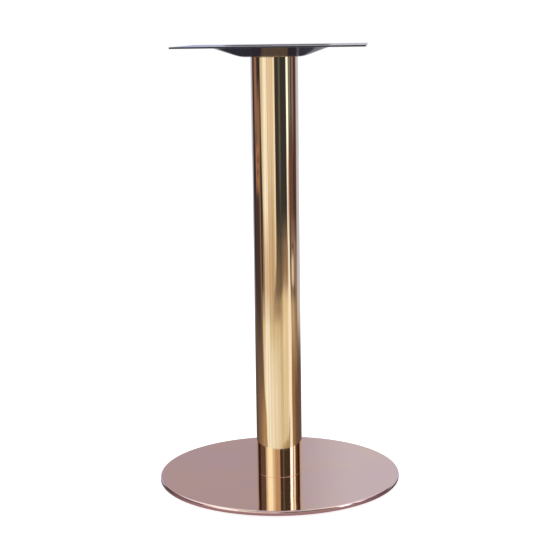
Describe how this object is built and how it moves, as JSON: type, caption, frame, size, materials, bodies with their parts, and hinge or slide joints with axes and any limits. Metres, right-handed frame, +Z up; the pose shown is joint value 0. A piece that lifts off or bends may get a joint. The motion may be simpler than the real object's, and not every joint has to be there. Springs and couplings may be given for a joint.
{
  "type": "pedestal table base",
  "caption": "Pedestal table base: round polished foot, round polished column and a stamped square top plate with a drawn dish, clamped by one central tie rod.",
  "frame": {"origin": "on the floor, under the centre line of the column", "axes": "+Z up along the column; +X and +Y square to the sides of the top plate"},
  "size_m": [0.3999, 0.4, 0.72],
  "materials": {
    "rose_gold_steel": "polished",
    "gold_steel": "polished",
    "grey_painted_steel": "satin",
    "ballast_steel": "satin",
    "turned_steel": "satin",
    "zinc_plated_steel": "satin",
    "black_nylon": "matte"
  },
  "bodies": {
    "root": {"base_cover": "rose_gold_steel", "ballast_plate": "ballast_steel", "base_hub": "turned_steel", "hub_screw_1": "zinc_plated_steel", "hub_screw_2": "zinc_plated_steel", "hub_screw_3": "zinc_plated_steel", "glide_1": "black_nylon", "glide_2": "black_nylon", "glide_3": "black_nylon", "glide_4": "black_nylon", "column_tube": "gold_steel", "tie_rod": "zinc_plated_steel", "hub_nut": "zinc_plated_steel", "top_spigot": "grey_painted_steel", "top_plate": "grey_painted_steel", "top_washer": "zinc_plated_steel", "top_nut": "zinc_plated_steel"}
  },
  "joints": []
}
